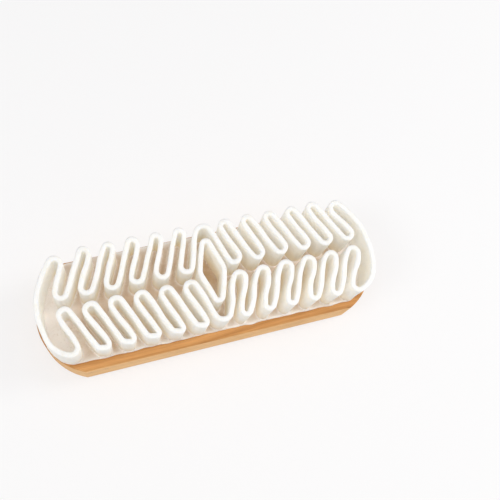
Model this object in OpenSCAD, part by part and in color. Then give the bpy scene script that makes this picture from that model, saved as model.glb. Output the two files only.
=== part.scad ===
// Suede brush: a long strip of crepe rubber, folded on edge and glued to a wooden block.
// The brush lies on the block's flat back, with the crepe on top.
// X runs along the block, Y across it, and the origin is in the middle of its back.

/* [Block] */
// Length of the wooden block
block_l = 150; // [120:1:180]
// Width of the wooden block
block_w = 48; // [44:1:56]
// Thickness of the wooden block
block_h = 18; // [12:1:30]
// How much larger than half the width the radius of each bowed end is
end_bow = 2.3; // [0.5:0.1:6]
// Radius of the edge round the top face
top_edge_r = 0.8; // [0.3:0.1:1.2]
// Radius of the edge round the back
back_edge_r = 2.5; // [1:0.5:5]

/* [Glue] */
// Thickness of the dried latex glue under the crepe
bed_t = 0.5; // [0.3:0.1:1]
// How far the glue spreads past the crepe
bed_spread = 0.3; // [0.1:0.1:1]
// Bare wood kept between the glue and the side of the block
bed_bare = 0.9; // [0.3:0.1:1.5]

/* [Crepe strip] */
// Thickness of the crepe strip
strip_t = 2; // [1.4:0.1:2.2]
// Height of the crepe's rim above the wood
strip_rise = 19.1; // [12:0.1:26]
// Inner bends in each half of a row
folds = 6; // [4:1:7]
// Wood left bare past the crepe on the near long side
near_gap = 4.1; // [2:0.1:6]
// Wood left bare past the crepe on the far long side
far_gap = 1.5; // [1.4:0.1:4]
// Wood left bare past the crepe at the left end
left_gap = 1.4; // [1:0.1:5]
// Wood left bare past the crepe at the right end
right_gap = 4.8; // [1:0.1:6]
// How far the folds sit to the right of the middle of the strip
fold_shift = 0.9; // [-1.5:0.1:1.5]
// Turn of the whole crepe on the block, in degrees
crepe_turn = -0.5; // [-1:0.1:0.6]

/* [Folds] */
// Gap between the inner bends of the two rows
row_gap = 2.4; // [0.6:0.1:5]
// Depth of the pocket inside each end wrap, from its outer face to the last inner bend's centre
pocket = 10.3; // [9:0.1:13]
// How much less the outer bends step along the row than the inner ones, which leans the folds
bend_lag = 0.3; // [0:0.05:0.6]
// Radius of an inner bend as a share of the step between folds
inner_share = 0.235; // [0.2:0.005:0.25]
// Radius of an outer bend as a share of the step between folds
outer_share = 0.195; // [0.16:0.005:0.22]
// Radius of the wide middle bends as a share of the step between folds
middle_share = 0.33; // [0.28:0.01:0.36]
// Radius of the corner bends as a share of the step between folds
corner_share = 0.25; // [0.2:0.01:0.27]
// How far the two near corner bends reach past the line of the near bends
corner_out = 0.3; // [0:0.1:0.8]
// How far the two far corner bends stay back from the line of the far bends
corner_back = 1.3; // [0.5:0.1:2]

/* [End wraps] */
// Radius of the strip round each end as a share of half the crepe's width
wrap_share = 1.46; // [1.35:0.01:1.6]
// How far the fullest point of a wrap lies toward the near side, as a share of half the crepe's width
near_share = 0.13; // [0.05:0.01:0.16]
// Radius of the shoulder between a wrap and the near corner, as a share of half the crepe's width
shoulder_share = 0.52; // [0.5:0.01:0.56]
// Direction of the shoulder from the middle of the wrap, in degrees toward the near side
shoulder_angle = 20; // [17:1:24]

/* [Middle loop] */
// Gap between the loop's sides and the first inner bends
loop_side_gap = 0.7; // [0.4:0.1:1.5]
// Gap between the loop's ends and the wide middle bends
loop_end_gap = 5.2; // [4:0.1:8]
// Radius of the loop's two ends
loop_end_r = 1.6; // [1.2:0.1:2]
// Radius of the loop's two sides
loop_side_r = 3; // [2:0.5:4]
// How far the loop lies to the right of the middle fold
loop_right = -0.2; // [-0.3:0.1:0.2]
// How far the loop lies toward the far side
loop_far = 0.7; // [0:0.1:1]

/* [Hidden] */

$fn = 96;
// Largest distance between a bend's true arc and the straight lines that stand for it
bend_error = 0.03;
// Play between the wrap's circle and one inside it, so that a short straight run joins them
wrap_play = 0.1;

end_r = block_w / 2 + end_bow;
end_x = block_l / 2 - end_r;
half = strip_t / 2;

// The outer faces of the crepe, measured from its own middle
reach_x = (block_l - left_gap - right_gap) / 2;
reach_y = (block_w - near_gap - far_gap) / 2;
crepe_x = (left_gap - right_gap) / 2;
crepe_y = (near_gap - far_gap) / 2;
bed_z = block_h;
strip_z = block_h + bed_t;
strip_h = strip_rise - bed_t;

step = (reach_x - pocket) / folds;
bend_step_x = step - bend_lag;
inner_r = step * inner_share;
outer_r = step * outer_share;
middle_r = step * middle_share;
corner_r = step * corner_share;
inner_y = row_gap / 2 + half + inner_r;
outer_y = reach_y - half - outer_r;
middle_y = reach_y - half - middle_r;
corner_y = reach_y - half - corner_r;
wrap_r = reach_y * wrap_share;
wrap_x = reach_x - half - wrap_r;
wrap_near = reach_y * near_share;
shoulder_r = reach_y * shoulder_share;
shoulder_out = wrap_r - shoulder_r + wrap_play;
shoulder_x = wrap_x + shoulder_out * cos(shoulder_angle);
shoulder_y = wrap_near + shoulder_out * sin(shoulder_angle);

// Each corner bend lies just inside the circle before or after it
near_corner_y = corner_y + corner_out;
near_corner_x = shoulder_x + side_of(shoulder_r - corner_r + wrap_play, near_corner_y - shoulder_y);
far_corner_y = corner_y - corner_back;
far_corner_x = wrap_x + side_of(wrap_r - corner_r + wrap_play, far_corner_y + wrap_near);
loop_a = step - inner_r - half - loop_side_gap - half;
loop_b = reach_y - strip_t - loop_end_gap - half;

// The strip is laid out like a belt round pulleys. A pulley is [x, y, radius, side]:
// side is 1 where the strip turns left round it and -1 where it turns right.

// Second short side of a right-angled triangle, from its long side and the first short side
function side_of(long, short) = sqrt(max(0, long * long - short * short));

// Direction of the straight run that leaves pulley a and meets pulley b
function run_angle(a, b) =
  let (away = [b.x - a.x, b.y - a.y])
  let (lift = (b[3] * b[2] - a[3] * a[2]) / norm(away))
  atan2(away.y, away.x) - asin(max(-1, min(1, lift)));

// Point on the strip beside pulley p, where the strip heads at an angle, off to the left by a distance
function strip_point(p, angle, off) =
  [p.x, p.y] + (off - p[3] * p[2]) * [-sin(angle), cos(angle)];

// Points round one pulley, from the heading of the run before it to that of the run after it
function bend_points(p, before, after, off) =
  let (raw = p[3] * (after - before))
  let (turn = raw - 360 * floor(raw / 360))
  let (steps = max(1, ceil(turn / (2 * acos(1 - bend_error / (p[2] + half))))))
  [for (i = [0 : steps]) strip_point(p, before + p[3] * turn * i / steps, off)];

// Closed outline of a strip that runs round all the pulleys in turn
function loop_points(pulleys, off) =
  let (n = len(pulleys))
  let (runs = [for (i = [0 : n - 1]) run_angle(pulleys[i], pulleys[(i + 1) % n])])
  [for (i = [0 : n - 1]) each bend_points(pulleys[i], runs[(i + n - 1) % n], runs[i], off)];

function reversed(list) = [for (i = [len(list) - 1 : -1 : 0]) list[i]];
function left_right(list) = [for (p = reversed(list)) [-p.x, p.y, p[2], p[3]]];
function near_far(list) = [for (p = reversed(list)) [p.x, -p.y, p[2], p[3]]];
function moved(list, x) = [for (p = list) [p.x + x, p.y, p[2], p[3]]];

// Inner and outer bends of the right half of the near row
half_row = [
  for (k = [1 : folds])
    each [
      [k * step, -inner_y, inner_r, -1],
      if (k < folds) [k * bend_step_x, -outer_y, outer_r, 1]
    ]
];
near_folds = moved(concat(left_right(half_row), [[0, -middle_y, middle_r, 1]], half_row), fold_shift);
near_corner = [near_corner_x, -near_corner_y, corner_r, 1];
far_corner = [far_corner_x, far_corner_y, corner_r, 1];
shoulder = [shoulder_x, -shoulder_y, shoulder_r, 1];
wrap = [wrap_x, -wrap_near, wrap_r, 1];

right_end = [near_corner, shoulder, wrap, far_corner];
left_end = left_right(right_end);
strip_path = concat(near_folds, right_end, near_far(near_folds), left_end);
last_bend = [(folds - 1) * bend_step_x, outer_y, outer_r, 1];
bed_path = concat(right_end, moved([last_bend], fold_shift), moved(left_right([last_bend]), fold_shift), left_end);
loop_path = [
  [0, loop_b - loop_end_r, loop_end_r, 1],
  [loop_side_r - loop_a, 0, loop_side_r, 1],
  [0, loop_end_r - loop_b, loop_end_r, 1],
  [loop_a - loop_side_r, 0, loop_side_r, 1]
];

// Puts what it holds in the crepe's place on the block
module on_block(z) {
  translate([crepe_x, crepe_y, z])
    rotate([0, 0, crepe_turn])
      children();
}

// A strip standing on edge, seen from above
module strip_plan(path) {
  difference() {
    polygon(loop_points(path, -half));
    polygon(loop_points(path, half));
  }
}

// Half of the outline of a plate, radius by height, with both edges rounded
module plate_profile(reach) {
  translate([0, back_edge_r])
    square([reach, block_h - back_edge_r - top_edge_r]);
  square([reach - back_edge_r, block_h]);
  translate([reach - back_edge_r, back_edge_r])
    circle(back_edge_r);
  translate([0, block_h / 2])
    square([reach - top_edge_r, block_h / 2]);
  translate([reach - top_edge_r, block_h - top_edge_r])
    circle(top_edge_r);
}

module block_plan(inset) {
  intersection() {
    square([block_l, block_w - 2 * inset], center = true);
    union() {
      square([2 * end_x, block_l], center = true);
      for (side = [-1, 1])
        translate([side * end_x, 0])
          circle(end_r - inset);
    }
  }
}

module wood_block() {
  color("burlywood")
    intersection() {
      translate([-block_l / 2, 0, 0])
        rotate([90, 0, 90])
          linear_extrude(block_l)
            union() {
              plate_profile(block_w / 2);
              mirror([1, 0])
                plate_profile(block_w / 2);
            }
      union() {
        translate([-end_x, -end_r, 0])
          cube([2 * end_x, 2 * end_r, block_h]);
        for (side = [-1, 1])
          translate([side * end_x, 0, 0])
            rotate_extrude()
              plate_profile(end_r);
      }
    }
}

module glue_bed() {
  color("wheat")
    translate([0, 0, bed_z])
      linear_extrude(bed_t)
        intersection() {
          block_plan(bed_bare);
          on_block(0)
            polygon(loop_points(bed_path, -half - bed_spread));
        }
}

module crepe_strip() {
  color("ivory")
    on_block(strip_z)
      linear_extrude(strip_h)
        strip_plan(strip_path);
}

module centre_loop() {
  color("floralwhite")
    on_block(strip_z)
      translate([fold_shift + loop_right, loop_far, 0])
        linear_extrude(strip_h)
          strip_plan(loop_path);
}

wood_block();
glue_bed();
crepe_strip();
centre_loop();
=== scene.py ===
"""A suede brush: a strip of crepe rubber folded on edge into two rows, glued to an oiled block."""

import math

import bmesh
import bpy
from mathutils import Matrix, Vector, noise
from mathutils.geometry import delaunay_2d_cdt


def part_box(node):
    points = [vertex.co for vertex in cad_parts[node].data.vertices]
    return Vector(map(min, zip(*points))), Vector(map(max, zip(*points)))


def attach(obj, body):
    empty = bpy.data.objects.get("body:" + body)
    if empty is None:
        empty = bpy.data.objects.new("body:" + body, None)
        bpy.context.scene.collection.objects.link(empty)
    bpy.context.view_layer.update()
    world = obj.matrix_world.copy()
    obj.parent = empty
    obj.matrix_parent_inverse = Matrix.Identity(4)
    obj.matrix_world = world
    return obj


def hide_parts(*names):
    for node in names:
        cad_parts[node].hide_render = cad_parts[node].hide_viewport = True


bl_info = {
    "name": "Suede Brush",
    "version": (1, 0, 0),
    "blender": (4, 5, 0),
    "location": "3D View > Sidebar > Suede Brush",
    "description": "Builds a crepe rubber suede brush on its wooden block",
    "category": "Object",
}

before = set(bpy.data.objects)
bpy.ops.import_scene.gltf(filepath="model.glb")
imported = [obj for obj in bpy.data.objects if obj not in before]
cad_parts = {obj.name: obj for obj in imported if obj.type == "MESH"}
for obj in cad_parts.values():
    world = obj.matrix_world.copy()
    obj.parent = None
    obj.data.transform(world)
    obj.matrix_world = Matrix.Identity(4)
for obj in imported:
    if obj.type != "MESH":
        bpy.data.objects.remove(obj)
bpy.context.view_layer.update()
WOOD_LOW, WOOD_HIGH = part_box("wood_block")
BED_LOW, BED_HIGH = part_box("glue_bed")
CREPE_LOW, CREPE_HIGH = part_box("crepe_strip")
FOOT_Z, RIM_Z = CREPE_LOW[2], CREPE_HIGH[2]

MM = 0.001

# How much larger than half the block's width the radius of each bowed end is
END_BOW = 2.3 * MM

# Runs of this length belly out fully, and shorter ones in proportion
FULL_BELLY_RUN = 14 * MM
# Share of the belly on the runs outside the right half of the near row, which lie straighter
CALM_BELLY = 0.3
# How far a near bend gives way beside its tight corner, as a share of the press
LEFT_GIVE = 0.3
RIGHT_GIVE = 0.15
# Radius of the near bends of the right half against that of the far ones
RIGHT_BEND = 0.9

# Mean thickness of the film as a share of the solid bed's, and how much it varies
FILM_LEVEL = 0.72
FILM_SWING = 0.25
# How fast the film's thickness and its edge wander from place to place
FILM_WAVES = 140
EDGE_WAVES = 190
# The film rounds off over this distance at its edge, and climbs the crepe from this close
FILM_ROUND = 0.7 * MM
CLIMB_REACH = 0.3 * MM
# The film is milky this far in from its edge and this far from the crepe
MILKY_EDGE = 1.8 * MM
MILKY_FOOT = 0.5 * MM
# It grows milky over this stretch towards both ends of the block, partly as painted light for the
# glow inside the open end wraps
END_MILK_AND_LIGHT_FROM = 54 * MM
END_MILK_AND_LIGHT_SPAN = 10 * MM
# Milkiness of the thin film between the folds, and how much of it is left inside the middle loop
THIN_MILK = 0.25
LOOP_MILK = 0.35

# Strength of the world's light on the brush, and of the background that is seen
WORLD_LIGHT = 0.47
WORLD_SHOWN = 0.98
WORLD_TINT = (1.0, 0.995, 0.99)
# The floor as it is seen: its share of white near the brush, which grows to 1 between the two
# distances
FLOOR_HALF = 2.5
FLOOR_WHITE = (0.995, 0.99, 0.995)
NEAR_WHITE = 0.6
FADE_FROM = 0.2
FADE_TO = 1.5
LAMP_AIM = (0.0, 0.0, 0.02)
LAMP_SIZE = 0.35
LAMP_TINT = (1.0, 0.99, 0.975)
# Name, place, power in watts and whether it casts shadows. The fills stand in for the light
# that the crepe passes on inside its deep pockets.
LAMPS = (
    ("right_key", (0.62, 0.0, 0.75), 2.1, True),
    ("left_key", (-0.62, -0.1, 0.75), 1.7, True),
    ("right_fill", (0.62, -0.3, 0.7), 2.6, False),
    ("left_fill", (-0.62, -0.3, 0.7), 1.1, False),
)


def length(name, millimetres, description):
    """A length property, given in millimetres."""
    return bpy.props.FloatProperty(
        name=name, description=description, default=millimetres * MM, unit="LENGTH", precision=5
    )


def number(name, value, description):
    """A plain number property, such as a share."""
    return bpy.props.FloatProperty(name=name, description=description, default=value)


def angle(name, degrees, description):
    """An angle property, given in degrees."""
    return bpy.props.FloatProperty(
        name=name, description=description, default=math.radians(degrees), subtype="ANGLE"
    )


def linear(channel):
    """One channel from screen values, 0 to 255, to linear light."""
    share = channel / 255
    return share / 12.92 if share <= 0.04045 else ((share + 0.055) / 1.055) ** 2.4


def colour(name, screen, description):
    """A colour property, given in screen values."""
    return bpy.props.FloatVectorProperty(
        name=name,
        description=description,
        default=[linear(channel) for channel in screen],
        subtype="COLOR",
        size=3,
        min=0,
        max=1,
    )


class BrushStrip(bpy.types.PropertyGroup):
    """Sizes of the folded crepe strip and the loop in its middle"""

    thickness: length("Thickness", 2, "Thickness of the crepe strip")
    reach_x: length("Reach Along", 71.9, "Half the length of the crepe, along the block")
    reach_y: length("Reach Across", 21.2, "Half the width of the crepe, across the block")
    middle_x: length("Middle Along", -1.7, "Place of the crepe's middle along the block")
    middle_y: length("Middle Across", 1.3, "Place of the crepe's middle across the block")
    turn: angle("Turn", -0.5, "Turn of the crepe on the block")
    folds: bpy.props.IntProperty(
        name="Folds", description="Inner bends in each half of a row", default=6, min=4, max=7
    )
    shift: length("Fold Shift", 0.9, "How far the folds sit to the right of the middle")
    row_gap: length("Row Gap", 2.4, "Gap between the inner bends of the two rows")
    pocket: length("Pocket", 10.3, "Depth of the pocket inside each end wrap")
    bend_lag: length("Bend Lag", 0.3, "How much less the outer bends step than the inner ones")
    inner_share: number("Inner Bend", 0.235, "Radius of an inner bend, in fold steps")
    outer_share: number("Outer Bend", 0.195, "Radius of an outer bend, in fold steps")
    middle_share: number("Middle Bend", 0.33, "Radius of the wide middle bends, in fold steps")
    corner_share: number("Corner Bend", 0.25, "Radius of the corner bends, in fold steps")
    corner_out: length("Corner Out", 0.3, "How far the near corners reach past the near bends")
    corner_back: length("Corner Back", 1.3, "How far the far corners stay back from the far bends")
    wrap_share: number("Wrap", 1.46, "Radius round each end, in half widths of the crepe")
    near_share: number("Wrap Near", 0.13, "Fullest point's shift to the near side, in half widths")
    shoulder_share: number("Shoulder", 0.52, "Radius of the near shoulders, in half widths")
    shoulder_angle: angle("Shoulder Turn", 20, "Direction of the shoulder from the wrap's middle")
    wrap_play: length("Wrap Play", 0.1, "Play between the wrap's circle and one inside it")
    belly: length("Belly", 0.35, "How far each run bellies out beside its bends")
    press: length("Press", 1.35, "How far the near bends are pressed to one side")
    tight_r: length("Tight Radius", 1.3, "Radius of the tight corners of the near bends")
    loop_side_gap: length("Loop Side Gap", 0.7, "Gap between the loop and the first inner bends")
    loop_end_gap: length("Loop End Gap", 5.2, "Gap between the loop and the wide middle bends")
    loop_end_r: length("Loop End Radius", 1.6, "Radius of the loop's two ends")
    loop_side_r: length("Loop Side Radius", 4.5, "Radius of the loop's two sides")
    loop_x: length("Loop Along", 0.7, "Place of the loop along the crepe")
    loop_y: length("Loop Across", 0.7, "Place of the loop across the crepe")
    rim_round: length("Rim Round", 0.65, "How far the cut rim is rounded off")
    rim_sway: length("Rim Sway", 0.5, "How far the soft rims sway from their feet")
    rim_uneven: length("Rim Unevenness", 0.35, "How much the height of the rims varies")
    flare: length("Flare", 0.45, "How far the outer rims lean outwards")
    skin: length("Skin", 0.035, "Height of the fine swell on the crepe's walls")


class BrushFilm(bpy.types.PropertyGroup):
    """Sizes of the dried latex film under the crepe"""

    spread: length("Spread", 0.25, "How far the film spreads past the crepe")
    far_spread: length("Far Spread", 0.9, "How much further it spreads on the far side")
    wave: length("Wave", 0.5, "How far the film's edge wanders")
    bare: length("Bare Wood", 0.25, "Wood kept bare at the side of the block")
    edge_round: length("Block Edge", 0.8, "Radius of the block's top edge under the film")
    climb: length("Climb", 0.55, "How far the latex climbs the foot of the crepe")


class BrushColours(bpy.types.PropertyGroup):
    """Colours of the crepe, the latex and the wood"""

    rim: colour("Crepe Rim", (252, 249, 246), "Colour of the cut rims")
    wall: colour("Crepe Wall", (251, 247, 241), "Colour of the walls near the rims")
    # Partly painted shade of the deep pockets, and also the tint of the blotches, grain and pores
    foot: colour("Crepe Foot", (246, 233, 211), "Colour of the walls near the wood")
    latex: colour("Latex", (247, 241, 235), "Colour of the dried latex where it is thick")
    latex_thin: colour("Thin Latex", (190, 161, 124), "Colour where the wood shows through")
    wood: colour("Wood", (192, 136, 79), "Main colour of the oiled wood")
    wood_light: colour("Light Wood", (219, 164, 105), "Colour of the paler streaks")
    wood_dark: colour("Dark Wood", (146, 91, 44), "Colour of the darker streaks")
    # Paler partly as sanded wood and partly as painted light on the near side
    sanded_side_and_light: colour("Sanded Side", (253, 208, 149), "Colour of the paler sanded sides")
    fleck: colour("Fleck", (120, 72, 38), "Colour of the short dark flecks")


class BrushStage(bpy.types.PropertyGroup):
    """The floor and the camera"""

    azimuth: angle("Azimuth", 42.5049, "Heading of the view, from the Y axis towards the X axis")
    elevation: angle("Elevation", 69.8471, "How steeply the camera looks down")
    roll: angle("Roll", -28.5378, "Turn of the picture about the line of sight")
    distance: length("Distance", 316.046, "From the camera to the point that it looks at")
    aim: bpy.props.FloatVectorProperty(
        name="Aim",
        description="Point that the camera looks at",
        default=(0.021446, 0.012149, 0.018),
        subtype="TRANSLATION",
        size=3,
    )
    lens: number("Lens", 50.48, "Focal length in millimetres")
    floor: colour("Floor", (240, 240, 241), "Colour of the floor")


def rgba(value, shade=1.0):
    """A colour as a colour socket takes it, darkened by a factor."""
    return (value[0] * shade, value[1] * shade, value[2] * shade, 1.0)


class Nodes:
    """Adds nodes to one tree and joins them."""

    def __init__(self, tree):
        self.tree = tree

    def add(self, kind, inputs=None, **settings):
        """Adds a node. An input is given a plain value or the socket that feeds it."""
        node = self.tree.nodes.new(kind)
        for name, value in settings.items():
            setattr(node, name, value)
        for name, value in (inputs or {}).items():
            if isinstance(value, bpy.types.NodeSocket):
                self.tree.links.new(value, node.inputs[name])
            else:
                node.inputs[name].default_value = value
        return node

    def out(self, kind, inputs=None, **settings):
        """Adds a node and gives its first output."""
        return self.add(kind, inputs, **settings).outputs[0]

    def math(self, operation, first, second=0.0, third=0.0):
        inputs = {0: first, 1: second, 2: third}
        return self.out("ShaderNodeMath", inputs, operation=operation)

    def vector_math(self, operation, first, second=(0.0, 0.0, 0.0)):
        return self.out("ShaderNodeVectorMath", {0: first, 1: second}, operation=operation)

    def scaled(self, vector, factor):
        inputs = {0: vector, "Scale": factor}
        return self.out("ShaderNodeVectorMath", inputs, operation="SCALE")

    def length(self, vector):
        node = self.add("ShaderNodeVectorMath", {0: vector}, operation="LENGTH")
        return node.outputs["Value"]

    def split(self, vector):
        """The parts of a vector, by the names of its axes."""
        return self.add("ShaderNodeSeparateXYZ", {0: vector}).outputs

    def joined(self, **parts):
        """A vector from some of its parts. The others are 0."""
        return self.out("ShaderNodeCombineXYZ", parts)

    def fit(self, value, low, high, to_low=0.0, to_high=1.0):
        """Moves a value from one range to another, and keeps it within that."""
        inputs = {"Value": value, "From Min": low, "From Max": high}
        inputs.update({"To Min": to_low, "To Max": to_high})
        return self.out("ShaderNodeMapRange", inputs)

    def noise_outputs(self, vector, scale, detail, roughness, distortion=0.0):
        inputs = {"Vector": vector, "Scale": scale, "Detail": detail}
        inputs.update({"Roughness": roughness, "Distortion": distortion})
        return self.add("ShaderNodeTexNoise", inputs).outputs

    def noise(self, vector, scale, detail=2.0, roughness=0.5, distortion=0.0):
        """Noise from 0 to 1."""
        return self.noise_outputs(vector, scale, detail, roughness, distortion)["Fac"]

    def wander(self, vector, scale, detail=2.0, roughness=0.5):
        """Noise as a vector whose parts swing about 0."""
        swing = self.noise_outputs(vector, scale, detail, roughness)["Color"]
        return self.vector_math("SUBTRACT", swing, (0.5, 0.5, 0.5))

    def line_noise(self, value, scale, detail):
        """Noise along one number, for rings and bands."""
        inputs = {"W": value, "Scale": scale, "Detail": detail}
        return self.add("ShaderNodeTexNoise", inputs, noise_dimensions="1D").outputs["Fac"]

    def specks(self, vector, scale, inner, outer):
        """Small round specks: 1 in their middles, and 0 past their outer distance."""
        inputs = {"Vector": vector, "Scale": scale, "Randomness": 1.0}
        cells = self.add("ShaderNodeTexVoronoi", inputs).outputs["Distance"]
        return self.fit(cells, inner, outer, 1.0, 0.0)

    def mix(self, factor, first, second):
        """Mixes two colours. The node's colour sockets follow those for numbers and vectors."""
        inputs = {0: factor, 6: first, 7: second}
        return self.add("ShaderNodeMix", inputs, data_type="RGBA").outputs[2]

    def object_place(self):
        return self.add("ShaderNodeTexCoord").outputs["Object"]

    def seen(self):
        """1 for rays that show the background, straight or in a gloss, and 0 for other light."""
        rays = self.add("ShaderNodeLightPath").outputs
        shown = self.math("MAXIMUM", rays["Is Camera Ray"], rays["Is Glossy Ray"])
        return self.math("MAXIMUM", shown, rays["Is Transmission Ray"])


# The strip is laid out like a belt round pulleys. A pulley is (x, y, radius, side): side is 1
# where the strip turns left round it and -1 where it turns right.


def side_of(long, short):
    """Second short side of a right-angled triangle."""
    return math.sqrt(max(0.0, long * long - short * short))


def run_angle(a, b):
    """Heading of the straight run that leaves pulley a and meets pulley b."""
    away = (b[0] - a[0], b[1] - a[1])
    lift = (b[3] * b[2] - a[3] * a[2]) / math.hypot(*away)
    return math.atan2(away[1], away[0]) - math.asin(max(-1.0, min(1.0, lift)))


def run_points(start, end, side, next_side, belly, run_step):
    """Points along a run, which bellies out like an S where its bends turn opposite ways."""
    gap = end - start
    cuts = max(1, round(gap.length / run_step))
    depth = belly * min(1.0, gap.length / FULL_BELLY_RUN) * (next_side - side) / 2
    if start.y > 0 or start.x < 0:
        depth *= CALM_BELLY
    square = Vector((-gap.y, gap.x)).normalized()
    shares = [cut / cuts for cut in range(1, cuts)]
    return [start + gap * share + square * depth * math.sin(math.tau * share) for share in shares]


def belt(pulleys, off=0.0, belly=0.0, bend_steps=9, run_step=1.4 * MM):
    """Closed line of a strip that runs round all the pulleys, as points a little way apart."""
    count = len(pulleys)
    runs = [run_angle(pulleys[i], pulleys[(i + 1) % count]) for i in range(count)]
    points = []
    for i, (x, y, radius, side) in enumerate(pulleys):
        before = runs[i - 1]
        turn = (side * (runs[i] - before)) % math.tau
        by_angle = round(bend_steps * turn / math.pi)
        by_length = math.ceil(radius * turn / run_step)
        steps = max(2, by_angle, by_length)
        bend = []
        for step in range(steps + 1):
            heading = before + side * turn * step / steps
            reach = off - side * radius
            bend.append(Vector((x - reach * math.sin(heading), y + reach * math.cos(heading))))
        if points:
            last_side = pulleys[i - 1][3]
            points += run_points(points[-1], bend[0], last_side, side, belly, run_step)
        points += bend
    last_side, first_side = pulleys[-1][3], pulleys[0][3]
    return points + run_points(points[-1], points[0], last_side, first_side, belly, run_step)


def left_right(pulleys):
    return [(-x, y, r, side) for x, y, r, side in reversed(pulleys)]


def near_far(pulleys):
    return [(x, -y, r, side) for x, y, r, side in reversed(pulleys)]


def moved(pulleys, along):
    return [(x + along, y, r, side) for x, y, r, side in pulleys]


def pressed_bends(folds, strip):
    """The near row as laid by hand: flat bends with a tight corner on the left half, and
    slightly tighter ones on the right."""
    give = strip.press * LEFT_GIVE
    shaped = []
    for x, y, r, side in folds:
        middle = abs(x - strip.shift) < r
        if side < 0 or middle:
            shaped.append((x, y, r, side))
        elif x < strip.shift:
            corner_y = y - (r - strip.tight_r) - give
            shaped.append((x - give, y, r, side))
            shaped.append((x + strip.press, corner_y, strip.tight_r, side))
        else:
            shaped.append((x - strip.press * RIGHT_GIVE, y, r * RIGHT_BEND, side))
    return shaped


def fold_step(strip):
    """Distance from one inner bend to the next along a row."""
    return (strip.reach_x - strip.pocket) / strip.folds


def end_pulleys(strip):
    """Pulleys of the right end: near corner, near shoulder, wrap and far corner."""
    half = strip.thickness / 2
    corner_r = fold_step(strip) * strip.corner_share
    corner_y = strip.reach_y - half - corner_r
    wrap_r = strip.reach_y * strip.wrap_share
    wrap_x = strip.reach_x - half - wrap_r
    wrap_near = strip.reach_y * strip.near_share
    shoulder_r = strip.reach_y * strip.shoulder_share
    shoulder_out = wrap_r - shoulder_r + strip.wrap_play
    shoulder_x = wrap_x + shoulder_out * math.cos(strip.shoulder_angle)
    shoulder_y = wrap_near + shoulder_out * math.sin(strip.shoulder_angle)

    # Each corner bend lies just inside the circle before or after it
    near_y = corner_y + strip.corner_out
    near_reach = shoulder_r - corner_r + strip.wrap_play
    near_x = shoulder_x + side_of(near_reach, near_y - shoulder_y)
    far_y = corner_y - strip.corner_back
    far_reach = wrap_r - corner_r + strip.wrap_play
    far_x = wrap_x + side_of(far_reach, far_y + wrap_near)
    return [
        (near_x, -near_y, corner_r, 1),
        (shoulder_x, -shoulder_y, shoulder_r, 1),
        (wrap_x, -wrap_near, wrap_r, 1),
        (far_x, far_y, corner_r, 1),
    ]


def strip_pulleys(strip):
    """Pulleys of the folded strip, and those that bound the latex film."""
    half = strip.thickness / 2
    step = fold_step(strip)
    inner_r = step * strip.inner_share
    outer_r = step * strip.outer_share
    middle_r = step * strip.middle_share
    inner_y = strip.row_gap / 2 + half + inner_r
    outer_y = strip.reach_y - half - outer_r
    middle_y = strip.reach_y - half - middle_r

    half_row = []
    for k in range(1, strip.folds + 1):
        half_row.append((k * step, -inner_y, inner_r, -1))
        if k < strip.folds:
            half_row.append((k * (step - strip.bend_lag), -outer_y, outer_r, 1))
    row = left_right(half_row) + [(0.0, -middle_y, middle_r, 1)] + half_row
    row = moved(row, strip.shift)
    right_end = end_pulleys(strip)
    left_end = left_right(right_end)
    folded = pressed_bends(row, strip) + right_end + near_far(row) + left_end

    last_bend = [((strip.folds - 1) * (step - strip.bend_lag), outer_y, outer_r, 1)]
    far_side = moved(last_bend, strip.shift) + moved(left_right(last_bend), strip.shift)
    return folded, right_end + far_side + left_end


def loop_pulleys(strip):
    """Pulleys of the lens-shaped loop in the middle: far end, left side, near end, right side."""
    step = fold_step(strip)
    half = strip.thickness / 2
    side = step - step * strip.inner_share - strip.loop_side_gap - 2 * half
    end = strip.reach_y - strip.thickness - strip.loop_end_gap - half
    return [
        (0.0, end - strip.loop_end_r, strip.loop_end_r, 1),
        (strip.loop_side_r - side, 0.0, strip.loop_side_r, 1),
        (0.0, strip.loop_end_r - end, strip.loop_end_r, 1),
        (side - strip.loop_side_r, 0.0, strip.loop_side_r, 1),
    ]


def on_block(points, strip, along=0.0, across=0.0):
    """Puts points of the crepe in their place on the block."""
    turn = Matrix.Rotation(strip.turn, 2)
    middle = Vector((strip.middle_x, strip.middle_y))
    return [middle + turn @ (point + Vector((along, across))) for point in points]


def crepe_points(strip, off=0.0):
    """Line of the folded strip on the block, or a line beside it."""
    folded = strip_pulleys(strip)[0]
    return on_block(belt(folded, off, strip.belly), strip)


def loop_points(strip, off=0.0):
    """Line of the middle loop on the block, or a line beside it."""
    return on_block(belt(loop_pulleys(strip), off), strip, strip.loop_x, strip.loop_y)


def new_material(name):
    material = bpy.data.materials.new(name)
    material.use_nodes = True
    material.node_tree.nodes.clear()
    return material, Nodes(material.node_tree)


def finish_material(nodes, base, roughness, relief, depth, strength, constants):
    """Joins colour, roughness and relief to the shader, with the values that are the same
    all over the surface on its own sockets."""
    inputs = {"Height": relief, "Distance": depth, "Strength": strength}
    bump = nodes.out("ShaderNodeBump", inputs)
    inputs = {"Base Color": base, "Roughness": roughness, "Normal": bump}
    inputs.update(constants)
    shader = nodes.out("ShaderNodeBsdfPrincipled", inputs)
    nodes.add("ShaderNodeOutputMaterial", {"Surface": shader})


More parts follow.
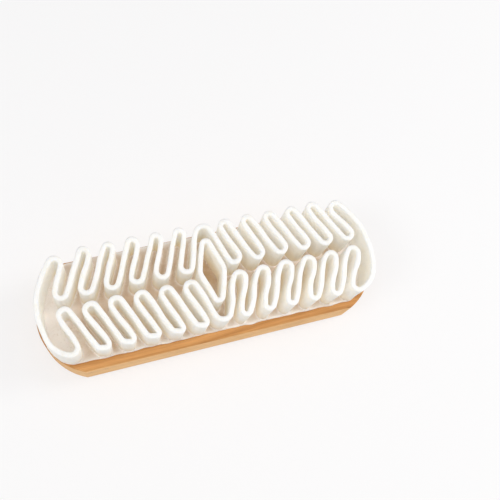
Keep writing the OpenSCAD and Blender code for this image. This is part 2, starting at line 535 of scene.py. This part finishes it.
def crepe_material(name, colours):
    """Natural crepe rubber: cream walls with fine grain and pores, and paler cut rims."""
    material, nodes = new_material(name)
    place = nodes.object_place()
    parts = nodes.split(place)

    # Cream walls: warmer towards the foot, unevenly so, and paler at both ends of the brush, where
    # the paler colour is painted light for the glow inside the open end wraps
    drift = nodes.noise(place, 70, 3, 0.55)
    painted_end_glow = nodes.fit(nodes.math("ABSOLUTE", parts["X"]), 56 * MM, 68 * MM, 0.0, 0.7)
    # The warmer foot is partly painted shade, the warm dimness deep in the narrow pockets
    rise = nodes.fit(parts["Z"], FOOT_Z, (FOOT_Z + 2 * RIM_Z) / 3)
    rise = nodes.math("ADD", rise, painted_end_glow)
    rise = nodes.math("ADD", rise, nodes.fit(drift, 0.3, 0.7, -0.2, 0.2))
    rise = nodes.fit(rise, 0.0, 1.0)
    walls = nodes.mix(rise, rgba(colours.foot), rgba(colours.wall))
    rim = nodes.fit(parts["Z"], RIM_Z - 0.9 * MM, RIM_Z - 0.25 * MM)
    base = nodes.mix(rim, walls, rgba(colours.rim))

    # Blotches, fine grain, and pores that gather in some places
    blotch = nodes.noise(place, 260, 4, 0.6)
    share = nodes.fit(blotch, 0.52, 0.75, 0.0, 0.3)
    base = nodes.mix(share, base, rgba(colours.foot, 0.95))
    grain = nodes.noise(place, 1500, 6, 0.62)
    share = nodes.fit(grain, 0.35, 0.75, 0.0, 0.15)
    base = nodes.mix(share, base, rgba(colours.foot, 0.88))
    gathered = nodes.fit(nodes.noise(place, 240, 1), 0.5, 0.6)
    pores = nodes.math("MULTIPLY", nodes.specks(place, 620, 0.05, 0.17), gathered)
    base = nodes.mix(nodes.math("MULTIPLY", pores, 0.5), base, rgba(colours.foot, 0.85))

    relief = nodes.math("MULTIPLY", nodes.noise(place, 420, 3), 1.2)
    relief = nodes.math("MULTIPLY_ADD", grain, 0.8, relief)
    relief = nodes.math("MULTIPLY_ADD", pores, -0.7, relief)
    roughness = nodes.fit(blotch, 0.3, 0.7, 0.5, 0.68)
    constants = {
        "Subsurface Weight": 1.0,
        "Subsurface Radius": (1.0, 0.95, 0.87),
        "Subsurface Scale": 2.5 * MM,
        "Specular IOR Level": 0.35,
    }
    finish_material(nodes, base, roughness, relief, 0.2 * MM, 0.9, constants)
    return material


def latex_material(colours):
    """Dried latex: milky where it is thick, and tan where the wood shows through."""
    material, nodes = new_material("dried_latex_film")
    place = nodes.object_place()
    cloud = nodes.noise(place, 120, 4, 0.6, 0.4)
    # Milkiness, which at both ends of the block is partly painted light
    milk_and_light = nodes.add("ShaderNodeAttribute", attribute_name="milk_and_light").outputs["Fac"]
    thick = nodes.math("ADD", milk_and_light, nodes.fit(cloud, 0.3, 0.7, -0.2, 0.2))
    thick = nodes.fit(thick, 0.0, 1.0)
    base = nodes.mix(thick, rgba(colours.latex_thin), rgba(colours.latex))
    speck = nodes.noise(place, 900, 3, 0.6)
    share = nodes.fit(speck, 0.6, 0.75, 0.0, 0.3)
    base = nodes.mix(share, base, rgba(colours.latex_thin, 0.8))
    relief = nodes.math("MULTIPLY_ADD", speck, 0.35, nodes.noise(place, 300, 3))
    roughness = nodes.fit(cloud, 0.3, 0.7, 0.3, 0.5)
    constants = {
        "Subsurface Weight": 0.15,
        "Subsurface Radius": (1.0, 0.7, 0.5),
        "Subsurface Scale": 1.0 * MM,
    }
    finish_material(nodes, base, roughness, relief, 0.12 * MM, 0.7, constants)
    return material


def wood_material(colours):
    """Oiled beech: growth rings that run out along the block, fine pores and short flecks."""
    material, nodes = new_material("oiled_wood_grain")
    place = nodes.object_place()

    # Distance from the pith, a line below and behind the block that isn't quite level with it
    pith = (0.0, 26 * MM, -55 * MM)
    run_out = 0.018
    bent = nodes.vector_math("ADD", place, nodes.scaled(nodes.wander(place, 14), 5 * MM))
    from_pith = nodes.vector_math("SUBTRACT", bent, pith)
    ring = nodes.length(nodes.vector_math("MULTIPLY", from_pith, (0.0, 1.0, 1.0)))
    ring = nodes.math("MULTIPLY_ADD", nodes.split(bent)["X"], run_out, ring)
    broad = nodes.line_noise(ring, 210, 2.0)
    bands = nodes.line_noise(ring, 700, 3.0)

    # Streaks and fine pores, drawn out along the block
    stretched = nodes.vector_math("MULTIPLY", bent, (0.03, 1.0, 1.0))
    streaks = nodes.noise(stretched, 900, 4, 0.6)
    hairs = nodes.noise(stretched, 3200, 4, 0.65)

    # The upright faces are paler, partly as sanded wood and partly as painted light falling on the
    # near side, and their marks show less
    base = nodes.mix(nodes.fit(broad, 0.3, 0.7), rgba(colours.wood), rgba(colours.wood_light))
    facing = nodes.split(nodes.add("ShaderNodeTexCoord").outputs["Normal"])
    upright = nodes.fit(nodes.math("ABSOLUTE", facing["Z"]), 0.2, 0.8, 0.85, 0.0)
    base = nodes.mix(upright, base, rgba(colours.sanded_side_and_light))
    for marks, low, depth in ((bands, 0.45, 0.5), (streaks, 0.5, 0.35), (hairs, 0.5, 0.4)):
        share = nodes.math("MULTIPLY_ADD", upright, -0.5 * depth, depth)
        share = nodes.math("MULTIPLY", nodes.fit(marks, low, 0.75), share)
        base = nodes.mix(share, base, rgba(colours.wood_dark))

    # Short flecks along the grain, that gather in some places
    fleck_place = nodes.vector_math("MULTIPLY", place, (0.2, 1.0, 1.0))
    gathered = nodes.fit(nodes.noise(fleck_place, 380, 1), 0.52, 0.62)
    flecks = nodes.math("MULTIPLY", nodes.specks(fleck_place, 520, 0.06, 0.2), gathered)
    base = nodes.mix(nodes.math("MULTIPLY", flecks, 0.6), base, rgba(colours.fleck))

    # Darker end grain and a little wear
    end_grain = nodes.fit(nodes.math("ABSOLUTE", facing["X"]), 0.5, 0.95, 0.0, 0.3)
    base = nodes.mix(end_grain, base, rgba(colours.wood_dark))
    worn = nodes.noise(place, 40, 3, 0.55)
    base = nodes.mix(nodes.fit(worn, 0.5, 0.8, 0.0, 0.2), base, rgba(colours.wood_dark))

    relief = nodes.math("MULTIPLY_ADD", hairs, 0.8, nodes.math("MULTIPLY", streaks, 0.5))
    relief = nodes.math("MULTIPLY_ADD", flecks, -0.8, relief)
    roughness = nodes.fit(worn, 0.3, 0.7, 0.55, 0.72)
    constants = {"Specular IOR Level": 0.15}
    finish_material(nodes, base, roughness, relief, 0.08 * MM, 0.7, constants)
    return material


def edge_profile(nodes, given):
    """Section of the strip: a tall rectangle, cut finely, with its two rim corners rounded."""
    short_cuts, more_tall_cuts, corner_steps = 3.0, 8.0, 4
    sides = {"Width": given["Thickness"], "Height": given["Height"]}
    section = nodes.out("GeometryNodeCurvePrimitiveQuadrilateral", sides)
    # Every second edge is a tall one
    tall = nodes.math("MODULO", nodes.out("GeometryNodeInputIndex"), 2.0)
    cuts = nodes.math("MULTIPLY_ADD", tall, more_tall_cuts, short_cuts)
    corner_y = nodes.split(nodes.out("GeometryNodeInputPosition"))["Y"]
    section = nodes.out("GeometryNodeSubdivideCurve", {"Curve": section, "Cuts": cuts})
    # The section's middle is at 0, so only the points of its top edge lie above 0.49 of its height
    top = nodes.math("MULTIPLY", given["Height"], 0.49)
    at_rim = nodes.math("GREATER_THAN", corner_y, top)
    radius = nodes.math("MULTIPLY", at_rim, given["Rim Round"])
    inputs = {"Curve": section, "Count": corner_steps, "Radius": radius, "Limit Radius": True}
    return nodes.out("GeometryNodeFilletCurve", inputs, mode="POLY")


def soft_rims(nodes, given, mesh):
    """Lets the rims sway, stand unevenly and lean outwards, while the feet stay glued.
    Gives the mesh and each point's share of the strip's height."""
    stiffness, sway_waves, height_waves = 1.6, 95, 130
    place = nodes.out("GeometryNodeInputPosition")
    parts = nodes.split(place)
    share = nodes.math("SUBTRACT", parts["Z"], given["Foot"])
    share = nodes.math("DIVIDE", share, given["Height"])
    share = nodes.out("ShaderNodeClamp", {"Value": share})
    bend = nodes.math("POWER", share, stiffness)
    flat = nodes.vector_math("MULTIPLY", place, (1.0, 1.0, 0.0))

    sway = nodes.wander(flat, sway_waves, 1.0, 0.4)
    sway = nodes.vector_math("MULTIPLY", sway, (2.0, 2.0, 0.0))
    sway = nodes.scaled(sway, nodes.math("MULTIPLY", bend, given["Rim Sway"]))

    across = nodes.math("SUBTRACT", parts["Y"], given["Middle Across"])
    outward = nodes.math("DIVIDE", across, given["Reach Across"])
    outward = nodes.math("POWER", nodes.math("ABSOLUTE", outward), 3.0)
    outward = nodes.math("MULTIPLY", outward, nodes.math("SIGN", across))
    outward = nodes.math("MULTIPLY", outward, nodes.math("MULTIPLY", bend, given["Flare"]))

    # Read elsewhere in the noise, so that the rims' height doesn't follow their sway
    uneven = nodes.noise(nodes.vector_math("ADD", flat, (0.4, 0.1, 0.0)), height_waves)
    drop = nodes.math("MULTIPLY", share, given["Rim Unevenness"])
    drop = nodes.math("MULTIPLY", nodes.math("MULTIPLY", uneven, drop), -1.0)

    offset = nodes.vector_math("ADD", sway, nodes.joined(Y=outward, Z=drop))
    mesh = nodes.out("GeometryNodeSetPosition", {"Geometry": mesh, "Offset": offset})
    return mesh, share


def swollen_walls(nodes, given, mesh, share):
    """Gives the walls above the foot a fine swell, square to them."""
    swell_waves = 330
    swell = nodes.noise(nodes.out("GeometryNodeInputPosition"), swell_waves, 3.0, 0.55)
    swell = nodes.math("SUBTRACT", swell, 0.5)
    swell = nodes.math("MULTIPLY", swell, nodes.math("MULTIPLY", given["Skin"], 2.0))
    above_foot = nodes.math("GREATER_THAN", share, 0.02)
    swell = nodes.math("MULTIPLY", swell, above_foot)
    offset = nodes.scaled(nodes.out("GeometryNodeInputNormal"), swell)
    return nodes.out("GeometryNodeSetPosition", {"Geometry": mesh, "Offset": offset})


def strip_tree(strip, material):
    """Geometry Nodes that stand a soft strip on edge along a closed line.
    Gives the tree and its sizes, by the identifiers of their sockets."""
    tree = bpy.data.node_groups.new("Strip On Edge", "GeometryNodeTree")
    sockets = tree.interface
    sockets.new_socket("Geometry", in_out="OUTPUT", socket_type="NodeSocketGeometry")
    sockets.new_socket("Path", in_out="INPUT", socket_type="NodeSocketGeometry")
    named_sizes = {
        "Thickness": strip.thickness,
        "Height": RIM_Z - FOOT_Z,
        "Foot": FOOT_Z,
        "Rim Round": strip.rim_round,
        "Rim Sway": strip.rim_sway,
        "Rim Unevenness": strip.rim_uneven,
        "Flare": strip.flare,
        "Skin": strip.skin,
        "Middle Across": strip.middle_y,
        "Reach Across": strip.reach_y,
    }
    sizes = {}
    for name, size in named_sizes.items():
        socket = sockets.new_socket(name, in_out="INPUT", socket_type="NodeSocketFloat")
        sizes[socket.identifier] = size

    nodes = Nodes(tree)
    given = nodes.add("NodeGroupInput").outputs
    line = nodes.out("GeometryNodeMeshToCurve", {"Mesh": given["Path"]})
    line = nodes.out("GeometryNodeSetCurveNormal", {"Curve": line}, mode="Z_UP")
    profile = edge_profile(nodes, given)
    mesh = nodes.out("GeometryNodeCurveToMesh", {"Curve": line, "Profile Curve": profile})
    lift = nodes.joined(Z=nodes.math("MULTIPLY_ADD", given["Height"], 0.5, given["Foot"]))
    mesh = nodes.out("GeometryNodeSetPosition", {"Geometry": mesh, "Offset": lift})
    mesh, share = soft_rims(nodes, given, mesh)
    mesh = swollen_walls(nodes, given, mesh, share)
    mesh = nodes.out("GeometryNodeSetShadeSmooth", {"Geometry": mesh})
    mesh = nodes.out("GeometryNodeRealizeInstances", {"Geometry": mesh})
    mesh = nodes.out("GeometryNodeSetMaterial", {"Geometry": mesh, "Material": material})
    nodes.add("NodeGroupOutput", {0: mesh})
    return tree, sizes


def add_object(name, data):
    """Puts a new object for some mesh, lamp or camera data into the scene."""
    item = bpy.data.objects.new(name, data)
    bpy.context.scene.collection.objects.link(item)
    return item


def stand_strip(name, points, strip, material):
    """One soft strip along a closed line, as a plain mesh."""
    line = bpy.data.meshes.new(name + "_line")
    edges = [(i, (i + 1) % len(points)) for i in range(len(points))]
    line.from_pydata([(point.x, point.y, 0.0) for point in points], edges, [])
    guide = add_object(name + "_guide", line)
    tree, sizes = strip_tree(strip, material)
    modifier = guide.modifiers.new("strip", "NODES")
    modifier.node_group = tree
    for identifier, size in sizes.items():
        modifier[identifier] = size
    evaluated = guide.evaluated_get(bpy.context.evaluated_depsgraph_get())
    mesh = bpy.data.meshes.new_from_object(evaluated)
    mesh.name = name
    bpy.data.objects.remove(guide)

    shell = bmesh.new()
    shell.from_mesh(mesh)
    bmesh.ops.remove_doubles(shell, verts=shell.verts, dist=0.001 * MM)
    bmesh.ops.recalc_face_normals(shell, faces=shell.faces)
    shell.to_mesh(mesh)
    shell.free()
    return add_object(name, mesh)


def hand_over(piece, node):
    """Hangs a piece under the root body, and hides the CAD solid that it stands in for."""
    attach(piece, "root")
    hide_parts(node)


class Segments:
    """Closed line whose distance from a point nearby is found through a grid of cells."""

    CELL = 3 * MM
    # Stands for any point that has no part of the line in the cells round it
    FAR = 1.0

    def __init__(self, points):
        self.cells = {}
        for i, start in enumerate(points):
            span = points[(i + 1) % len(points)] - start
            # Two points in one place still give a square to divide by
            square = max(span.length_squared, 1e-12)
            self.cells.setdefault(self.key(start + span / 2), []).append((start, span, square))

    def key(self, point):
        return (math.floor(point.x / self.CELL), math.floor(point.y / self.CELL))

    def gap(self, point):
        """Distance from a point to the line."""
        column, row = self.key(point)
        best = self.FAR
        for i in (-1, 0, 1):
            for j in (-1, 0, 1):
                for start, span, square in self.cells.get((column + i, row + j), []):
                    away = point - start
                    share = max(0.0, min(1.0, away.dot(span) / square))
                    best = min(best, (away - span * share).length_squared)
        return math.sqrt(best)


def outward_at(line, i):
    """Direction out of a closed line, square to it at one of its points."""
    heading = (line[(i + 1) % len(line)] - line[i - 1]).normalized()
    return Vector((heading.y, -heading.x))


def wave_at(point, scale):
    """Noise from -1 to 1 at a point on the block's top."""
    return noise.noise(Vector((point.x, point.y, 0.0)) * scale)


def from_side(point):
    """Distance from a point on the block's top to its nearest side."""
    end_r = WOOD_HIGH[1] + END_BOW
    end_x = WOOD_HIGH[0] - end_r
    side = WOOD_HIGH[1] - abs(point.y)
    if abs(point.x) < end_x:
        return side
    return min(side, end_r - (point - Vector((math.copysign(end_x, point.x), 0.0))).length)


def film_outline(strip, film):
    """Wavy edge of the film, kept off the side of the block."""
    bounds = strip_pulleys(strip)[1]
    off = -strip.thickness / 2 - film.spread
    outline = on_block(belt(bounds, off, bend_steps=12, run_step=0.8 * MM), strip)
    points = []
    for i, point in enumerate(outline):
        outward = outward_at(outline, i)
        spread = film.wave * wave_at(point, EDGE_WAVES) + film.far_spread * max(0.0, outward.y)
        spread = min(spread, from_side(point) - film.bare)
        points.append(point + outward * spread)
    return points


def film_guides(strip, outline, edge):
    """Points inside the film: close beside the crepe, on an even grid and just inside its edge."""
    half = strip.thickness / 2
    beside_crepe = (half, half + 0.25 * MM, half + 0.7 * MM)
    inside_edge = (0.12 * MM, 0.4 * MM)
    clear_of_edge = 0.1 * MM
    grid = 0.9 * MM
    points = []
    for reach in beside_crepe:
        for side in (-1, 1):
            points += crepe_points(strip, side * reach)
            points += loop_points(strip, side * reach)
    for column in range(round(WOOD_LOW[0] / grid), round(WOOD_HIGH[0] / grid) + 1):
        for row in range(round(WOOD_LOW[1] / grid), round(WOOD_HIGH[1] / grid) + 1):
            points.append(Vector((column * grid, row * grid + (column % 2) * grid / 2)))
    for reach in inside_edge:
        for i, point in enumerate(outline):
            points.append(point - outward_at(outline, i) * reach)
    return [point for point in points if edge.gap(point) > clear_of_edge]


def film_rise(film, point, from_edge, from_crepe):
    """Thickness of the film: rounded at its edge, a little wavy, and climbing the crepe."""
    rise = (BED_HIGH[2] - BED_LOW[2]) * math.sqrt(min(1.0, from_edge / FILM_ROUND))
    rise *= FILM_LEVEL + FILM_SWING * wave_at(point, FILM_WAVES)
    if from_crepe > -CLIMB_REACH:
        rise += film.climb * math.exp(-max(0.0, from_crepe) / CLIMB_REACH)
    return rise


def film_sag(film, point):
    """How far the film follows the block's rounded top edge down."""
    slope = max(0.0, film.edge_round - from_side(point))
    return film.edge_round - side_of(film.edge_round, slope)


def loop_lens(strip):
    """The middle loop's place on the block, and its reach along and across."""
    middle = on_block([Vector((0.0, 0.0))], strip, strip.loop_x, strip.loop_y)[0]
    end, side = loop_pulleys(strip)[:2]
    return middle, side[2] - side[0], end[1] + end[2]


def film_milk_and_light(lens, point, from_edge, from_crepe):
    """How milky the film is: most at its edge, at the crepe and at both ends of the block, where
    the paleness is partly painted light.
    """
    middle, along, across = lens
    off_loop = abs(point.x - middle.x) / along + abs(point.y - middle.y) / across
    whiter = math.exp(-min(from_edge / MILKY_EDGE, max(0.0, from_crepe) / MILKY_FOOT))
    end_milk_and_light = max(0.0, min(1.0, (abs(point.x) - END_MILK_AND_LIGHT_FROM) / END_MILK_AND_LIGHT_SPAN))
    milk_and_light = THIN_MILK + (1.0 - THIN_MILK) * max(whiter, end_milk_and_light)
    return milk_and_light * (LOOP_MILK if off_loop < 1.0 else 1.0)


def film_mesh(strip, film):
    """Closed mesh of the film, with its milkiness as an attribute of its points."""
    outline = film_outline(strip, film)
    edge = Segments(outline)
    crepe = Segments(crepe_points(strip))
    loop = Segments(loop_points(strip))
    lens = loop_lens(strip)
    count = len(outline)
    border = [(i, (i + 1) % count) for i in range(count)]
    places = outline + film_guides(strip, outline, edge)
    flat, _, faces, _, _, _ = delaunay_2d_cdt(places, border, [], 1, 0.02 * MM)

    corners = []
    milk_and_light = []
    for i, point in enumerate(flat):
        on_edge = i < count
        from_edge = 0.0 if on_edge else edge.gap(point)
        from_crepe = min(crepe.gap(point), loop.gap(point)) - strip.thickness / 2
        rise = 0.0 if on_edge else film_rise(film, point, from_edge, from_crepe)
        corners.append((point.x, point.y, BED_LOW[2] + rise - film_sag(film, point)))
        milk_and_light.append(film_milk_and_light(lens, point, from_edge, from_crepe))

    mesh = bpy.data.meshes.new("latex_film")
    underside = tuple(reversed(range(count)))
    mesh.from_pydata(corners, [], [tuple(face) for face in faces] + [underside])
    mesh.attributes.new("milk_and_light", "FLOAT", "POINT").data.foreach_set("value", milk_and_light)

    # The few guide points that no face uses are dropped
    shell = bmesh.new()
    shell.from_mesh(mesh)
    loose = [vert for vert in shell.verts if not vert.link_faces]
    bmesh.ops.delete(shell, geom=loose, context="VERTS")
    shell.to_mesh(mesh)
    shell.free()
    mesh.shade_smooth()
    return mesh


class BRUSH_OT_wood_block(bpy.types.Operator):
    """Give the wooden block its oiled grain"""

    bl_idname = "brush.wood_block"
    bl_label = "Wooden Block"

    def execute(self, context):
        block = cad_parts["wood_block"]
        block.data.materials.clear()
        block.data.materials.append(wood_material(context.scene.brush_colours))
        return {"FINISHED"}


class BRUSH_OT_glue_film(bpy.types.Operator):
    """Spread the thin film of dried latex that holds the crepe"""

    bl_idname = "brush.glue_film"
    bl_label = "Latex Film"

    def execute(self, context):
        scene = context.scene
        mesh = film_mesh(scene.brush_strip, scene.brush_film)
        mesh.materials.append(latex_material(scene.brush_colours))
        hand_over(add_object("latex_film", mesh), "glue_bed")
        return {"FINISHED"}


class BRUSH_OT_crepe_strip(bpy.types.Operator):
    """Fold the long crepe strip into its two rows and round both ends"""

    bl_idname = "brush.crepe_strip"
    bl_label = "Crepe Strip"

    def execute(self, context):
        strip = context.scene.brush_strip
        material = crepe_material("natural_crepe_rubber", context.scene.brush_colours)
        piece = stand_strip("folded_crepe", crepe_points(strip), strip, material)
        hand_over(piece, "crepe_strip")
        return {"FINISHED"}


class BRUSH_OT_centre_loop(bpy.types.Operator):
    """Stand the lens-shaped loop in the middle of the folds"""

    bl_idname = "brush.centre_loop"
    bl_label = "Middle Loop"

    def execute(self, context):
        strip = context.scene.brush_strip
        material = crepe_material("loop_crepe_rubber", context.scene.brush_colours)
        piece = stand_strip("middle_loop", loop_points(strip), strip, material)
        hand_over(piece, "centre_loop")
        return {"FINISHED"}


def lay_floor(stage):
    """A pale floor that keeps the brush's shadow and fades to white with distance."""
    material, nodes = new_material("pale_floor")
    paper = nodes.out("ShaderNodeBsdfDiffuse", {"Color": rgba(stage.floor)})
    glow = nodes.out("ShaderNodeEmission", {"Color": rgba(FLOOR_WHITE), "Strength": 1.0})
    away = nodes.length(nodes.object_place())
    white = nodes.fit(away, FADE_FROM, FADE_TO, NEAR_WHITE, 1.0)
    share = nodes.math("MULTIPLY", nodes.seen(), white)
    surface = nodes.out("ShaderNodeMixShader", {0: share, 1: paper, 2: glow})
    nodes.add("ShaderNodeOutputMaterial", {"Surface": surface})
    mesh = bpy.data.meshes.new("floor")
    corners = [(-1, -1), (1, -1), (1, 1), (-1, 1)]
    mesh.from_pydata([(x * FLOOR_HALF, y * FLOOR_HALF, 0) for x, y in corners], [], [(0, 1, 2, 3)])
    mesh.materials.append(material)
    add_object("floor", mesh)


def studio_world():
    """Soft even light, and a white background."""
    world = bpy.data.worlds.new("studio")
    world.use_nodes = True
    world.node_tree.nodes.clear()
    nodes = Nodes(world.node_tree)
    strength = nodes.fit(nodes.seen(), 0.0, 1.0, WORLD_LIGHT, WORLD_SHOWN)
    inputs = {"Color": rgba(WORLD_TINT), "Strength": strength}
    nodes.add("ShaderNodeOutputWorld", {"Surface": nodes.out("ShaderNodeBackground", inputs)})
    return world


def hang_lamps():
    """The soft lamps at both sides, aimed at the brush."""
    for name, place, power, shadow in LAMPS:
        light = bpy.data.lights.new(name, "AREA")
        light.shape = "DISK"
        light.size = LAMP_SIZE
        light.energy = power
        light.color = LAMP_TINT
        light.use_shadow = shadow
        lamp = add_object(name, light)
        lamp.location = place
        aim = Vector(LAMP_AIM) - Vector(place)
        lamp.rotation_euler = aim.to_track_quat("-Z", "Y").to_euler()


def place_camera(stage):
    """The camera, at the angle of the photograph."""
    heading, pitch = stage.azimuth, stage.elevation
    level_x, level_y = math.sin(heading) * math.cos(pitch), math.cos(heading) * math.cos(pitch)
    forward = Vector((level_x, level_y, -math.sin(pitch)))
    level = Vector((math.cos(heading), -math.sin(heading), 0.0))
    right = level * math.cos(stage.roll) + forward.cross(level) * math.sin(stage.roll)
    down = forward.cross(right)
    data = bpy.data.cameras.new("camera")
    data.sensor_width = 36.0
    data.lens = stage.lens
    data.clip_start = 10 * MM
    camera = add_object("camera", data)
    place = Matrix.Translation(Vector(stage.aim) - forward * stage.distance)
    camera.matrix_world = place @ Matrix((right, -down, -forward)).transposed().to_4x4()
    return camera


class BRUSH_OT_stage(bpy.types.Operator):
    """Set the pale floor, the soft lamps and the camera"""

    bl_idname = "brush.stage"
    bl_label = "Stage"

    def execute(self, context):
        scene = context.scene
        lay_floor(scene.brush_stage)
        scene.world = studio_world()
        hang_lamps()
        scene.view_settings.view_transform = "Standard"
        scene.camera = place_camera(scene.brush_stage)
        return {"FINISHED"}


class BRUSH_PT_panel(bpy.types.Panel):
    """Builds the brush piece by piece"""

    bl_idname = "BRUSH_PT_panel"
    bl_label = "Suede Brush"
    bl_space_type = "VIEW_3D"
    bl_region_type = "UI"
    bl_category = "Suede Brush"

    def draw(self, context):
        column = self.layout.column(align=True)
        for operator in OPERATORS:
            column.operator(operator.bl_idname)
        for name, group in SETTINGS.items():
            box = self.layout.box()
            box.label(text=group.__doc__)
            for setting in group.__annotations__:
                box.prop(getattr(context.scene, name), setting)


SETTINGS = {
    "brush_strip": BrushStrip,
    "brush_film": BrushFilm,
    "brush_colours": BrushColours,
    "brush_stage": BrushStage,
}
OPERATORS = (
    BRUSH_OT_wood_block,
    BRUSH_OT_glue_film,
    BRUSH_OT_crepe_strip,
    BRUSH_OT_centre_loop,
    BRUSH_OT_stage,
)
CLASSES = tuple(SETTINGS.values()) + OPERATORS + (BRUSH_PT_panel,)


def register():
    for each in CLASSES:
        bpy.utils.register_class(each)
    for name, group in SETTINGS.items():
        setattr(bpy.types.Scene, name, bpy.props.PointerProperty(type=group))


def unregister():
    for name in SETTINGS:
        delattr(bpy.types.Scene, name)
    for each in reversed(CLASSES):
        bpy.utils.unregister_class(each)


def main():
    register()
    bpy.ops.brush.wood_block()
    bpy.ops.brush.glue_film()
    bpy.ops.brush.crepe_strip()
    bpy.ops.brush.centre_loop()
    bpy.ops.brush.stage()


if __name__ == "__main__":
    main()
